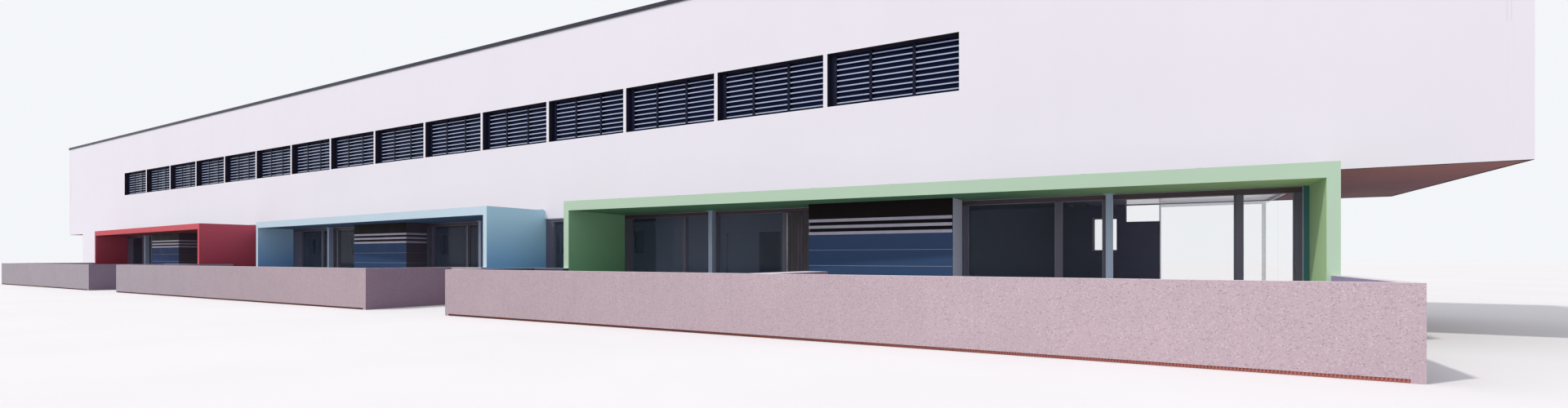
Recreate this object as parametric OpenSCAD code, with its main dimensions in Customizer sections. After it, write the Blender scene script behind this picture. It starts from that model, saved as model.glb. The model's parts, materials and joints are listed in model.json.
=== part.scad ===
// School building, a scale model at 1:2 of the full size.
// All sizes are those of the model, in millimetres: the real ones are twice as large.
// The front faces -Y, the length runs along X, and Z = 0 is the ground.
// The origin is at the middle of the footprint, patios included.

/* [Upper storey] */
// Overall length of the building
building_l = 36500; // [34000:100:39000]
// Depth of the building from the front wall to the back wall, over the walls
building_d = 3750; // [3200:50:4600]
// Height of the top of the coping above the ground
building_h = 4670; // [4400:10:5200]
// Thickness of the outside walls
wall_t = 150; // [110:10:200]
// Height of the underside of the upper storey
soffit_z = 1570; // [1500:10:1700]
// Thickness of the floor of the upper storey
upper_floor_t = 200; // [120:10:260]
// Thickness of the roof slab
roof_t = 160; // [100:10:220]
// Height of the parapet above the roof slab, under the coping
parapet_h = 180; // [100:10:260]
// Height of the coping
coping_h = 60; // [30:5:90]
// Overhang of the coping beyond the face of the walls
coping_out = 15; // [5:5:30]

/* [Window band] */
// Width of one bay of the window band, post included
bay_w = 1765; // [1600:5:1900]
// Number of bays in the window band
bay_count = 15; // [12:1:16]
// Length of the blank wall between the band and the right end
band_right_blank = 4770; // [3500:10:6000]
// Height of the sill of the band above the ground
band_sill_z = 2740; // [2500:10:2900]
// Height of the band from sill to head
band_h = 700; // [560:10:820]
// Width of a post between two bays
band_post_w = 60; // [50:5:120]
// Width of the stile at the left end of each louvre panel
band_stile_w = 100; // [60:5:140]
// Distance of the louvres behind the face of the wall
louvre_set = 80; // [60:5:85]
// Number of blades in a bay
blade_count = 9; // [7:1:10]
// Height of one blade
blade_h = 25; // [18:1:32]
// Depth of one blade, front to back
blade_d = 20; // [14:1:24]
// Height of the lowest blade's underside above the sill
blade_first = 42; // [30:1:60]
// Clear height above the top blade
blade_last = 50; // [30:1:70]
// Width of a mullion that carries the blades
mullion_w = 35; // [24:1:50]
// Depth of a mullion, front to back
mullion_d = 34; // [28:1:40]
// Thickness of a sheet of glass
glass_t = 12; // [8:1:16]

/* [Classroom boxes] */
// Width of the passage between two boxes
passage_w = 1720; // [1200:20:2000]
// Distance of the first box from the right end of the building
box_right_blank = 1380; // [1000:20:1600]
// Length of the plain wall at the left end of the ground floor
left_plain_l = 2180; // [1600:20:2600]
// Reach of the box in front of the wall at its deep end
box_deep = 1130; // [1000:10:1250]
// Reach of the box in front of the wall at its shallow end
box_shallow = 680; // [600:10:900]
// Thickness of the roof of a box
box_roof_t = 137; // [100:1:160]
// Thickness of the side walls of a box
box_wall_t = 95; // [70:5:120]

/* [Ground floor] */
// Thickness of the ground floor slab
floor_t = 50; // [30:5:80]
// Height of the underside of the wall above the passages
passage_head_z = 1425; // [1350:5:1430]
// Length of the full-height glass in the back wall, at its right end
back_glass_l = 1200; // [900:20:1500]
// Height of the low part of the back wall, beside its right end
low_wall_h = 1300; // [1200:10:1400]
// Length of the low part of the back wall
low_wall_l = 460; // [300:10:600]
// Width of a high window in the back wall
high_window_w = 350; // [250:10:500]
// Height of a high window in the back wall
high_window_h = 525; // [400:5:600]
// Height of the sill of a high window
high_window_z = 855; // [700:5:900]
// Spacing of the high windows
high_window_step = 2400; // [2200:50:2600]
// Number of high windows
high_window_count = 12; // [8:1:12]
// Length of the inner wall behind the first box
inner_wall_l = 3700; // [3400:10:4000]
// Thickness of the inner wall
inner_wall_t = 100; // [80:5:150]
// Distance of the inner wall behind the face of the front wall
inner_wall_back = 1900; // [1700:10:2100]
// Distance of the inner wall's left end beyond the left end of the first box
inner_wall_lap = 873; // [600:1:1000]
// Distance of the doorway from the left end of the inner wall
doorway_in = 1630; // [1400:10:1900]
// Width of the doorway in the inner wall
doorway_w = 1124; // [1000:4:1200]
// Height of the head of the doorway above the ground
doorway_h = 1195; // [1100:5:1300]

/* [Glazing] */
// Distance of the ground floor frames behind the face of the wall
frame_set = 25; // [10:5:60]
// Depth of a frame, front to back
frame_d = 60; // [50:5:64]
// Width of an ordinary mullion
bar_w = 60; // [40:5:80]
// Height of the head and of the foot of a frame
rail_h = 55; // [40:5:80]
// Width of the wide stile beside the left wall of the first box
stile_w = 130; // [100:10:280]
// Width of the stile beside the right wall of the first box
corner_stile_w = 110; // [80:5:140]
// Width of the wide stile beside the left wall of the other boxes
wide_stile_w = 390; // [280:10:420]
// Width of the stile beside the wall of a box in a passage
passage_stile_w = 190; // [100:10:240]
// Width of a steel post
post_w = 66; // [40:2:90]
// Depth of a steel post, front to back
post_d = 90; // [60:5:120]
// Distance of a post from the middle of the mullion behind it, away from the core
post_shift = 34; // [0:2:50]
// Depth of the slender frames of the glazed end
end_frame_d = 30; // [24:2:60]
// Width of the slender uprights of the glazed end
end_bar_w = 15; // [10:1:40]
// Number of sheets of glass along the end
end_sheets = 3; // [2:1:5]
// Joint between two sheets along the end
sheet_joint = 3; // [2:1:8]

/* [Storage cores] */
// Width of a core along the front
core_w = 1840; // [1700:20:1900]
// Reach of a core in front of the wall
core_out = 385; // [300:5:450]
// Thickness of the panels of a core
core_panel_t = 50; // [36:2:60]
// Pitch of the horizontal boards
board_h = 195; // [180:1:200]
// Height of the joint between two boards
board_joint = 6; // [3:1:8]
// Depth of the joint between two boards
board_joint_d = 6; // [4:1:10]
// Height of the underside of the lowest rail
rail_zone_z = 1040; // [1010:5:1080]
// Height of one light rail
rail_w = 36; // [28:1:44]
// Pitch of the light rails
rail_pitch = 80; // [70:1:90]
// Thickness of a light rail
rail_t = 14; // [10:1:20]
// Width of the plain edge at the right of the front of the first core
plain_edge = 8; // [4:1:16]

/* [Doors] */
// Width of the doorway beside a core
door_w = 560; // [500:5:600]
// Thickness of a door leaf
leaf_t = 32; // [26:1:40]
// Width of the frame of a door leaf
leaf_bar = 46; // [36:1:60]
// Gap round a door leaf
leaf_gap = 8; // [8:1:11]
// Radius of the pivots of a door leaf
pivot_r = 5; // [4:0.5:5]

/* [Patio walls] */
// Distance from the face of the low walls to the face of the building
patio_d = 2550; // [2400:10:2800]
// Height of the low walls
patio_h = 600; // [500:5:650]
// Thickness of the low walls
patio_t = 100; // [80:5:140]
// Distance that a low wall stands beyond the box at its end
patio_over = 35; // [0:5:60]
// Distance that the first patio runs on past the left end of the first box
first_patio_lap = 608; // [400:4:800]
// Clear length between the first patio and the second
patio_gap = 1860; // [1760:10:1960]
// Height of the recessed plinth
plinth_h = 24; // [18:1:40]
// Depth of the recess of the plinth
plinth_in = 16; // [12:1:20]
// Thickness of the plinth strip
plinth_t = 8; // [6:1:10]
// Thickness of the dividing wall in the first patio
divider_t = 290; // [200:10:320]
// Length of the dividing wall, front wall included
divider_l = 1300; // [1100:10:1380]
// Length of the return of the second patio beside the third box
side_return_l = 1950; // [1600:10:2000]

/* [Hidden] */

white = [0.93, 0.92, 0.94];
dark_bronze = [0.24, 0.21, 0.22];
dark_grey = [0.2, 0.2, 0.24];
concrete = [0.74, 0.68, 0.72];
tinted = [0.30, 0.36, 0.44, 0.5];
navy = [0.18, 0.24, 0.36];
green = [0.68, 0.81, 0.69];
blue = [0.74, 0.84, 0.88];
red = [0.70, 0.28, 0.32];

// Depth of the whole footprint runs from the low walls to the back coping
total_d = patio_d + building_d + coping_out;
patio_y = -total_d / 2;
face_y = patio_y + patio_d;
back_y = face_y + building_d;
inner_face_y = face_y + wall_t;
inner_back_y = back_y - wall_t;
half_l = building_l / 2;

// Heights of the upper storey
band_head_z = band_sill_z + band_h;
wall_top_z = building_h - coping_h;
roof_z = wall_top_z - parapet_h - roof_t;
box_soffit_z = soffit_z - box_roof_t;

// The window band
band_right_x = half_l - band_right_blank;
band_left_x = band_right_x - bay_count * bay_w;
blade_pitch = (band_h - blade_first - blade_last - blade_h) / (blade_count - 1);

// The three boxes and the three screens share the length between the plain ends
box_l = (building_l - 2 * box_right_blank - 3 * passage_w - left_plain_l) / 3;

// The three boxes, from right to left. Each row has the left end, the right end,
// the reach at the left end, the reach at the right end and the shift of its core.
box_step = box_l + passage_w;
box_right_x = half_l - box_right_blank;
BOXES = [
    [box_right_x - box_l, box_right_x, box_deep, box_shallow, 120],
    [box_right_x - box_step - box_l, box_right_x - box_step, box_shallow, box_deep, 60],
    [box_right_x - 2 * box_step - box_l, box_right_x - 2 * box_step, box_shallow, box_deep, 0]
];
function box_left(b) = BOXES[b][0];
function box_right(b) = BOXES[b][1];
function core_x(b) = (BOXES[b][0] + BOXES[b][1]) / 2 + BOXES[b][4];

// Front edge of a box at any x: the front of each box is askew in plan
function box_front(b, x) = face_y - BOXES[b][2]
    - (BOXES[b][3] - BOXES[b][2]) * (x - BOXES[b][0]) / box_l;

// The ground floor stands back from both ends of the upper storey
ground_left_x = -half_l + box_right_blank;
back_wall_end_x = box_right_x - box_wall_t - back_glass_l;
left_screen_x = box_left(2) - passage_w;
frame_y = face_y + frame_set;

// Centres of mullions in the glazing left and right of a core, as shares of its length
LEFT_BARS = [[0.404, 0.6], [0.457, 0.62, 0.68], [0.459, 0.63, 0.69]];
RIGHT_BARS = [[0.3256, 0.4717, 0.832], [0.0547, 0.381, 0.5176], [0.0538, 0.3773, 0.51]];
// Number of the mullion that has a steel post in front of it, left and right of a core
POST_BARS = [[1, 1], [1, 2], [1, 2]];
LEFT_STILES = [stile_w, wide_stile_w, wide_stile_w];
RIGHT_STILES = [corner_stile_w, bar_w, bar_w];

core_half = core_w / 2;
rail_top_z = rail_zone_z + 2 * rail_pitch + rail_w;

// A straight block from its lowest to its highest corner
module block(p, q) {
    translate(p) cube([q[0] - p[0], q[1] - p[1], q[2] - p[2]]);
}

module ground_floor() {
    color(concrete)
    block([ground_left_x + wall_t, inner_face_y, 0], [box_right_x, inner_back_y, floor_t]);
}

// Floors of the boxes, out to their front edges, and the strips under the screens
module front_floors() {
    color(concrete) {
        for (b = [0 : 2]) {
            xl = box_left(b) + box_wall_t;
            xr = box_right(b) - box_wall_t;
            linear_extrude(floor_t)
            polygon([
                [xl, box_front(b, xl)], [xr, box_front(b, xr)],
                [xr, inner_face_y], [xl, inner_face_y]
            ]);
        }
        for (s = SCREENS)
            block([s[0], face_y, 0], [s[1], inner_face_y, floor_t]);
    }
}

module upper_floor() {
    color([0.45, 0.33, 0.34])
    block([-half_l + wall_t, inner_face_y, soffit_z],
          [half_l - wall_t, inner_back_y, soffit_z + upper_floor_t]);
}

module roof_slab() {
    color("gray")
    block([-half_l + wall_t, inner_face_y, roof_z],
          [half_l - wall_t, inner_back_y, roof_z + roof_t]);
}

module coping_long() {
    color(dark_grey)
    for (y = [face_y - coping_out, inner_back_y])
        block([-half_l - coping_out, y, wall_top_z],
              [half_l + coping_out, y + wall_t + coping_out, building_h]);
}

module coping_ends() {
    color(dark_grey)
    for (x = [-half_l - coping_out, half_l - wall_t])
        block([x, inner_face_y, wall_top_z],
              [x + wall_t + coping_out, inner_back_y, building_h]);
}

// The long walls are the same at the front and at the back: y is their front face
module sill_wall(y) {
    color(white)
    block([-half_l, y, soffit_z], [half_l, y + wall_t, band_sill_z]);
}

module head_wall(y) {
    color(white)
    block([-half_l, y, band_head_z], [half_l, y + wall_t, wall_top_z]);
}

// Blank wall at both ends of the band, and a post between each two bays
module band_piers(y) {
    color(white) {
        block([-half_l, y, band_sill_z], [band_left_x, y + wall_t, band_head_z]);
        block([band_right_x, y, band_sill_z], [half_l, y + wall_t, band_head_z]);
        for (i = [1 : bay_count - 1])
            translate([band_left_x + i * bay_w - band_post_w / 2, y, band_sill_z])
                cube([band_post_w, wall_t, band_h]);
    }
}

// Clear span of a bay, between its posts
function bay_left(i) = band_left_x + i * bay_w + (i == 0 ? 0 : band_post_w / 2);
function bay_right(i) = band_left_x + (i + 1) * bay_w
    - (i == bay_count - 1 ? 0 : band_post_w / 2);

// Section of the blades of one panel, with a sloping top that sheds the rain
module blade_section() {
    for (k = [0 : blade_count - 1])
        translate([(mullion_d - blade_d) / 2, blade_first + k * blade_pitch])
            polygon([[0, 0], [blade_d, blade_h * 0.3], [blade_d, blade_h], [0, blade_h * 0.8]]);
}

// One louvre panel: blades across the bay, carried by a stile and two mullions
module louvre_panel(i) {
    l = bay_right(i) - bay_left(i);
    translate([bay_left(i), 0, band_sill_z]) {
        rotate([90, 0, 90]) linear_extrude(l) blade_section();
        cube([band_stile_w, mullion_d, band_h]);
        for (k = [1, 2])
            translate([k * l / 3 - mullion_w / 2, 0, 0])
                cube([mullion_w, mullion_d, band_h]);
    }
}

module front_louvres() {
    color([0.72, 0.76, 0.82])
    translate([0, face_y + louvre_set, 0])
        for (i = [0 : bay_count - 1]) louvre_panel(i);
}

// At the back the same panels face the other way
module back_louvres() {
    color([0.72, 0.76, 0.82])
    translate([0, back_y - louvre_set, 0])
        mirror([0, 1, 0])
            for (i = [0 : bay_count - 1]) louvre_panel(i);
}

module front_sill_wall() { sill_wall(face_y); }
module front_head_wall() { head_wall(face_y); }
module front_band_piers() { band_piers(face_y); }
module back_sill_wall() { sill_wall(inner_back_y); }
module back_head_wall() { head_wall(inner_back_y); }
module back_band_piers() { band_piers(inner_back_y); }

module band_glass() {
    color(tinted)
    for (i = [0 : bay_count - 1], y = [inner_face_y - 2 * glass_t, inner_back_y + glass_t])
        block([bay_left(i), y, band_sill_z], [bay_right(i), y + glass_t, band_head_z]);
}

module upper_end_walls() {
    color(white)
    for (x = [-half_l, half_l - wall_t])
        block([x, inner_face_y, soffit_z], [x + wall_t, inner_back_y, wall_top_z]);
}

// Wall that comes down between the boxes, and the plain wall left of the last screen
module ground_front_wall() {
    color(white) {
        for (b = [0, 1])
            block([box_right(b + 1), face_y, passage_head_z],
                  [box_left(b), inner_face_y, soffit_z]);
        block([left_screen_x, face_y, passage_head_z],
              [box_left(2), inner_face_y, soffit_z]);
        block([ground_left_x, face_y, 0], [left_screen_x, inner_face_y, soffit_z]);
    }
}

// Left edge of a high window in the back wall, counted from the right
function high_window_x(i) = back_wall_end_x - low_wall_l - 110
    - high_window_w - i * high_window_step;

module ground_back_wall() {
    color(white)
    difference() {
        block([ground_left_x, inner_back_y, 0], [back_wall_end_x, back_y, soffit_z]);
        for (i = [0 : high_window_count - 1])
            translate([high_window_x(i), inner_back_y - 1, high_window_z])
                cube([high_window_w, wall_t + 2, high_window_h]);
        // the low part at the right end
        translate([back_wall_end_x - low_wall_l, inner_back_y - 1, low_wall_h])
            cube([low_wall_l + 1, wall_t + 2, soffit_z]);
    }
}

// The wall at the left end, and the inner wall behind the first box. Its doorway has a
// fixed leaf at the left and is open at the right.
module ground_plain_walls() {
    x = box_left(0) - inner_wall_lap;
    y = face_y + inner_wall_back;
    leaf_w = doorway_w * 0.59;
    color(white) {
        block([ground_left_x, inner_face_y, 0], [ground_left_x + wall_t, inner_back_y, soffit_z]);
        difference() {
            block([x, y, floor_t], [x + inner_wall_l, y + inner_wall_t, soffit_z]);
            translate([x + doorway_in, y - 1, 0])
                cube([doorway_w, inner_wall_t * 0.4 + 1, doorway_h]);
            translate([x + doorway_in + leaf_w, y - 1, 0])
                cube([doorway_w - leaf_w, inner_wall_t + 2, doorway_h]);
        }
    }
}

// Edges of the glass in a frame: the bars are centres of mullions from its left end
function edges(l, bars, left_w, right_w) =
    concat([left_w - bar_w / 2], bars, [l - right_w + bar_w / 2]);

// A frame of length l, height h and depth d, with its front at y = 0
module frame(l, h, bars, left_w, right_w, d = frame_d) {
    xs = edges(l, bars, left_w, right_w);
    difference() {
        cube([l, d, h]);
        for (i = [0 : len(xs) - 2])
            translate([xs[i] + bar_w / 2, -1, rail_h])
                cube([xs[i + 1] - xs[i] - bar_w, d + 2, h - 2 * rail_h]);
    }
}

// The sheets of glass of such a frame
module panes(l, h, bars, left_w, right_w, d = frame_d) {
    xs = edges(l, bars, left_w, right_w);
    for (i = [0 : len(xs) - 2])
        translate([xs[i] + bar_w / 2, (d - glass_t) / 2, rail_h])
            cube([xs[i + 1] - xs[i] - bar_w, glass_t, h - 2 * rail_h]);
}

// Screens between the boxes and beside the last one: left end and right end
SCREENS = [
    [box_right(1), box_left(0)], [box_right(2), box_left(1)], [left_screen_x, box_left(2)]
];
screen_h = passage_head_z - floor_t;

module screen_frames() {
    color(dark_bronze)
    for (s = SCREENS)
        translate([s[0], frame_y, floor_t])
            frame(s[1] - s[0], screen_h, [(s[1] - s[0]) / 2], passage_stile_w, bar_w);
}

module screen_glass() {
    color(tinted) {
        for (s = SCREENS)
            translate([s[0], frame_y, floor_t])
                panes(s[1] - s[0], screen_h, [(s[1] - s[0]) / 2], passage_stile_w, bar_w);
        // high windows in the back wall
        for (i = [0 : high_window_count - 1])
            translate([high_window_x(i), back_y - wall_t / 2, high_window_z])
                cube([high_window_w, glass_t, high_window_h]);
        // light above the low part of the back wall
        block([back_wall_end_x - low_wall_l, back_y - wall_t / 2, low_wall_h],
              [back_wall_end_x, back_y - wall_t / 2 + glass_t, soffit_z]);
    }
}

// Glass at the right end: sheets side by side along the end, and one sheet round the
// corner at the back, in slender frames
end_h = soffit_z - floor_t;
end_l = inner_back_y + end_frame_d - inner_face_y;
back_glass_w = back_glass_l + box_wall_t - end_frame_d;
end_clear_l = end_l - end_frame_d - 2 * end_bar_w;
sheet_l = (end_clear_l - (end_sheets - 1) * sheet_joint) / end_sheets;

module end_frames() {
    color([0.8, 0.82, 0.85]) {
        translate([box_right_x, inner_face_y, floor_t])
            rotate([0, 0, 90])
                frame(end_l, end_h, [], end_bar_w, end_frame_d + end_bar_w, end_frame_d);
        translate([back_wall_end_x, inner_back_y, floor_t])
            frame(back_glass_w, end_h, [], end_bar_w, end_bar_w, end_frame_d);
        // sill under the glass at the back
        block([back_wall_end_x, inner_back_y, 0],
              [box_right_x, inner_back_y + end_frame_d, floor_t]);
    }
}

module end_glass() {
    color(tinted) {
        for (i = [0 : end_sheets - 1])
            translate([box_right_x, inner_face_y + end_bar_w + i * (sheet_l + sheet_joint), floor_t])
                rotate([0, 0, 90])
                    panes(sheet_l, end_h, [], 0, 0, end_frame_d);
        translate([back_wall_end_x, inner_back_y, floor_t])
            panes(back_glass_w, end_h, [], end_bar_w, end_bar_w, end_frame_d);
    }
}

module box_roof(b) {
    xl = box_left(b);
    xr = box_right(b);
    translate([0, 0, box_soffit_z])
    linear_extrude(box_roof_t)
    polygon([
        [xl, box_front(b, xl)], [xr, box_front(b, xr)], [xr, inner_face_y], [xl, inner_face_y]
    ]);
}

module box_walls(b) {
    for (x = [box_left(b), box_right(b) - box_wall_t])
        linear_extrude(box_soffit_z)
        polygon([
            [x, box_front(b, x)], [x + box_wall_t, box_front(b, x + box_wall_t)],
            [x + box_wall_t, inner_face_y], [x, inner_face_y]
        ]);
}

// The glazing of a box has a left part, up to the door, and a right part
box_frame_h = box_soffit_z - floor_t;
function left_x(b) = box_left(b) + box_wall_t;
function left_l(b) = core_x(b) - core_half - door_w - left_x(b);
function right_x(b) = core_x(b) + core_half;
function right_l(b) = box_right(b) - box_wall_t - right_x(b);
function left_bars(b) = LEFT_BARS[b] * left_l(b);
function right_bars(b) = RIGHT_BARS[b] * right_l(b);

module box_frames(b) {
    translate([left_x(b), frame_y, floor_t])
        frame(left_l(b), box_frame_h, left_bars(b), LEFT_STILES[b], bar_w);
    translate([right_x(b), frame_y, floor_t])
        frame(right_l(b), box_frame_h, right_bars(b), bar_w, RIGHT_STILES[b]);
}

module box_panes(b) {
    translate([left_x(b), frame_y, floor_t])
        panes(left_l(b), box_frame_h, left_bars(b), LEFT_STILES[b], bar_w);
    translate([right_x(b), frame_y, floor_t])
        panes(right_l(b), box_frame_h, right_bars(b), bar_w, RIGHT_STILES[b]);
}

module green_roof() { color(green) box_roof(0); }
module green_walls() { color(green) box_walls(0); }
module green_frames() { color(dark_bronze) box_frames(0); }
module green_glass() { color(tinted) box_panes(0); }
module blue_roof() { color(blue) box_roof(1); }
module blue_walls() { color(blue) box_walls(1); }
module blue_frames() { color(dark_bronze) box_frames(1); }
module blue_glass() { color(tinted) box_panes(1); }
module red_roof() { color(red) box_roof(2); }
module red_walls() { color(red) box_walls(2); }
module red_frames() { color(dark_bronze) box_frames(2); }
module red_glass() { color(tinted) box_panes(2); }

// Head above each doorway
module door_heads() {
    color(dark_bronze)
    for (b = [0 : 2])
        block([core_x(b) - core_half - door_w, frame_y, box_soffit_z - rail_h],
              [core_x(b) - core_half, frame_y + frame_d, box_soffit_z]);
}

// Door leaf beside a core: a frame with one panel, which turns on two pivots near
// its front left corner, one in the floor and one in the head
leaf_l = door_w - 2 * leaf_gap;
leaf_h = box_frame_h - rail_h - 2 * leaf_gap;
leaf_panel_t = 16;
handle_z = 470;
pivot_in = 6;
pivot_fit = 0.3;

module door_leaf(b) {
    color(dark_bronze)
    translate([core_x(b) - core_half - door_w + leaf_gap, frame_y, floor_t + leaf_gap]) {
        difference() {
            cube([leaf_l, leaf_t, leaf_h]);
            for (y = [-1, (leaf_t + leaf_panel_t) / 2])
                translate([leaf_bar, y, leaf_bar])
                    cube([leaf_l - 2 * leaf_bar, (leaf_t - leaf_panel_t) / 2 + 1, leaf_h - 2 * leaf_bar]);
        }
        for (z = [pivot_fit - leaf_gap, leaf_h - 1])
            translate([pivot_in, pivot_in, z])
                cylinder(r = pivot_r, h = leaf_gap - pivot_fit + 1, $fn = 32);
        // lever handle on the free stile
        translate([leaf_l - leaf_bar * 0.7, -20, handle_z]) {
            cube([12, 20, 12]);
            translate([-50, -6, 0]) cube([62, 12, 12]);
        }
    }
}

module green_door() { door_leaf(0); }
module blue_door() { door_leaf(1); }
module red_door() { door_leaf(2); }

// A band of some depth round the front and the sides of a core, reaching beyond its
// faces by out; the right side of the first core is plain
module core_band(b, z0, h, depth, out) {
    x0 = core_x(b) - core_half;
    y0 = face_y - core_out;
    right = b == 0 ? -plain_edge : out;
    translate([0, 0, z0])
    linear_extrude(h)
    difference() {
        translate([x0 - out, y0 - out])
            square([core_w + out + right, core_out + frame_set - 5 + out]);
        translate([x0 + depth, y0 + depth])
            square([core_w - (b == 0 ? 1 : 2) * depth, core_out + frame_set]);
    }
}

// Storage core: boards round three sides, open to the inside of the building
module storage_cores() {
    color(navy)
    for (b = [0 : 2])
        difference() {
            translate([core_x(b) - core_half, face_y - core_out, floor_t])
                cube([core_w, core_out + wall_t, box_frame_h]);
            translate([core_x(b) - core_half + core_panel_t, face_y - core_out + core_panel_t, 0])
                cube([core_w - 2 * core_panel_t, core_out + wall_t, soffit_z]);
            core_band(b, rail_zone_z, rail_top_z - rail_zone_z, rail_t, 1);
            for (k = [1 : 4])
                core_band(b, rail_zone_z - k * board_h, board_joint, board_joint_d, 1);
        }
}

// Three light rails round each core, in the recess that is cut for them
module core_rails() {
    color([0.6, 0.6, 0.66])
    for (b = [0 : 2], k = [0 : 2])
        core_band(b, rail_zone_z + k * rail_pitch, rail_w, rail_t, 0);
}

// Steel posts in front of the frames, from the floor to the soffit of the box
module steel_posts() {
    color([0.62, 0.64, 0.68])
    for (b = [0 : 2],
         x = [left_x(b) + left_bars(b)[POST_BARS[b][0]] - post_shift,
              right_x(b) + right_bars(b)[POST_BARS[b][1]] + post_shift])
        translate([x - post_w / 2, frame_y - post_d, floor_t])
            cube([post_w, post_d, box_frame_h]);
}

// Low walls of the three patios: left end and right end
PATIOS = [
    [box_left(0) - first_patio_lap, box_right_x + patio_over],
    [box_right(2), box_left(0) - first_patio_lap - patio_gap],
    [box_left(2) - patio_over, box_right(2) - passage_w]
];
link_y = face_y - box_deep;
// A wall that ends against the askew front of a box stops this much short of it
seat_fit = 0.2;

module patio_fronts() {
    color(concrete) {
        for (p = PATIOS)
            difference() {
                block([p[0], patio_y, 0], [p[1], patio_y + patio_t, patio_h]);
                translate([p[0] + patio_t * 0.7, patio_y - 1, -1])
                    cube([p[1] - p[0] - patio_t * 1.4, plinth_in + 1, plinth_h + 1]);
            }
        // links from the returns to the boxes, along the front
        link(0, PATIOS[0][0] + patio_t, box_left(0), box_left(0) + box_wall_t);
        link(1, PATIOS[1][1], box_right(1) - box_wall_t, box_right(1));
        link(2, PATIOS[2][1], box_right(2) - box_wall_t, box_right(2));
    }
}

// A low wall along the front that ends against the front of a side wall of box b,
// which stands from xa to xb
module link(b, x, xa, xb) {
    linear_extrude(patio_h)
    polygon(b == 0
        ? [[x, link_y - patio_t], [xb, link_y - patio_t], [xb, box_front(b, xb) - seat_fit],
           [xa, box_front(b, xa) - seat_fit], [x, link_y]]
        : [[x, link_y - patio_t], [xb, link_y - patio_t], [xb, box_front(b, xb) - seat_fit],
           [xa, box_front(b, xa) - seat_fit], [xa, link_y], [x, link_y]]);
}

// The strip in the recess at the foot of each front wall
module patio_plinths() {
    color([0.42, 0.26, 0.24])
    for (p = PATIOS)
        block([p[0] + patio_t * 0.7, patio_y + plinth_in - plinth_t, 0],
              [p[1] - patio_t * 0.7, patio_y + plinth_in, plinth_h]);
}

// A return from the front wall back to the front of box b, with its left face at x
module return_to_box(b, x) {
    linear_extrude(patio_h)
    polygon([
        [x, patio_y + patio_t], [x + patio_t, patio_y + patio_t],
        [x + patio_t, box_front(b, x + patio_t) - seat_fit], [x, box_front(b, x) - seat_fit]
    ]);
}

module patio_returns() {
    color(concrete) {
        return_to_box(0, PATIOS[0][1] - patio_t);
        return_to_box(2, PATIOS[2][0]);
        block([PATIOS[0][0], patio_y + patio_t, 0], [PATIOS[0][0] + patio_t, link_y, patio_h]);
        for (b = [1, 2])
            block([PATIOS[b][1] - patio_t, patio_y + patio_t, 0],
                  [PATIOS[b][1], link_y, patio_h]);
        block([PATIOS[1][0], patio_y + patio_t, 0],
              [PATIOS[1][0] + patio_t, patio_y + side_return_l + patio_t, patio_h]);
        // dividing wall of the first patio
        block([core_x(0) - 525, patio_y + patio_t, 0],
              [core_x(0) - 525 + divider_t, patio_y + divider_l, patio_h]);
    }
}

ground_floor();
front_floors();
upper_floor();
roof_slab();
coping_long();
coping_ends();
front_sill_wall();
front_head_wall();
front_band_piers();
front_louvres();
back_sill_wall();
back_head_wall();
back_band_piers();
back_louvres();
band_glass();
upper_end_walls();
ground_front_wall();
ground_back_wall();
ground_plain_walls();
screen_frames();
screen_glass();
end_frames();
end_glass();
green_roof();
green_walls();
green_frames();
green_glass();
blue_roof();
blue_walls();
blue_frames();
blue_glass();
red_roof();
red_walls();
red_frames();
red_glass();
green_door();
blue_door();
red_door();
door_heads();
storage_cores();
core_rails();
steel_posts();
patio_fronts();
patio_returns();
patio_plinths();
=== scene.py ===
import json
import math
import bmesh
import bpy
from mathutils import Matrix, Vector


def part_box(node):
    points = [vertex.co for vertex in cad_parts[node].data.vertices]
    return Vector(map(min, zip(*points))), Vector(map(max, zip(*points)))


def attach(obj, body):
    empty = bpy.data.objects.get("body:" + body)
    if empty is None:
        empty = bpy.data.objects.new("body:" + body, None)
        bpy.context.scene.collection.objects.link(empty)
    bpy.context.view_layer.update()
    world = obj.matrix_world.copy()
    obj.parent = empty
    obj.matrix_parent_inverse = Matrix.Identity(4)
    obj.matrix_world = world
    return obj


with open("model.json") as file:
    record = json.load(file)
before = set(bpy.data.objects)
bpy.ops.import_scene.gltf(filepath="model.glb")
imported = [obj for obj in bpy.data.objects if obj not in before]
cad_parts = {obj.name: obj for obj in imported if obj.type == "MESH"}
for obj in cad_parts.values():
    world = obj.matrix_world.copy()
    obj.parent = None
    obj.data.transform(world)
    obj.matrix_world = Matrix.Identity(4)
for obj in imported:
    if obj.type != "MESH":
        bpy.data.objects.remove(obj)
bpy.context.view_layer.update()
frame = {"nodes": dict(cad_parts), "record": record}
nodes = frame["nodes"]
scene = bpy.context.scene

# Planes and heights that the source gives too, in metres
WALL_T = 0.15
FACE_Y = -0.6075
INNER_FACE_Y = FACE_Y + WALL_T
BACK_Y = 3.1425
INNER_BACK_Y = BACK_Y - WALL_T
HALF = 18.25
GLAZED_END_X = 16.868
FLOOR_TOP = 0.05
SOFFIT = 1.570
TOP = 4.670
COPING_H = 0.060
COPING_OUT = 0.015
COPING_BAYS = 15
BELOW_COPING = TOP - COPING_H - 0.01
BOXES = ("green", "blue", "red")

# Window band: the wall round it, its posts and its louvres
SILL_Z = 2.740
HEAD_Z = 3.440
BAY = 1.765
BAY_COUNT = 15
BAND_RIGHT_BLANK = 4.770
POST_HALF = 0.030
LOUVRE_SET = 0.080
BLADE_COUNT = 9
BLADE_H = 0.025
BLADE_FIRST = 0.042
BLADE_LAST = 0.050
BLADE_PITCH = (HEAD_Z - SILL_Z - BLADE_FIRST - BLADE_LAST - BLADE_H) / (BLADE_COUNT - 1)

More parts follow.
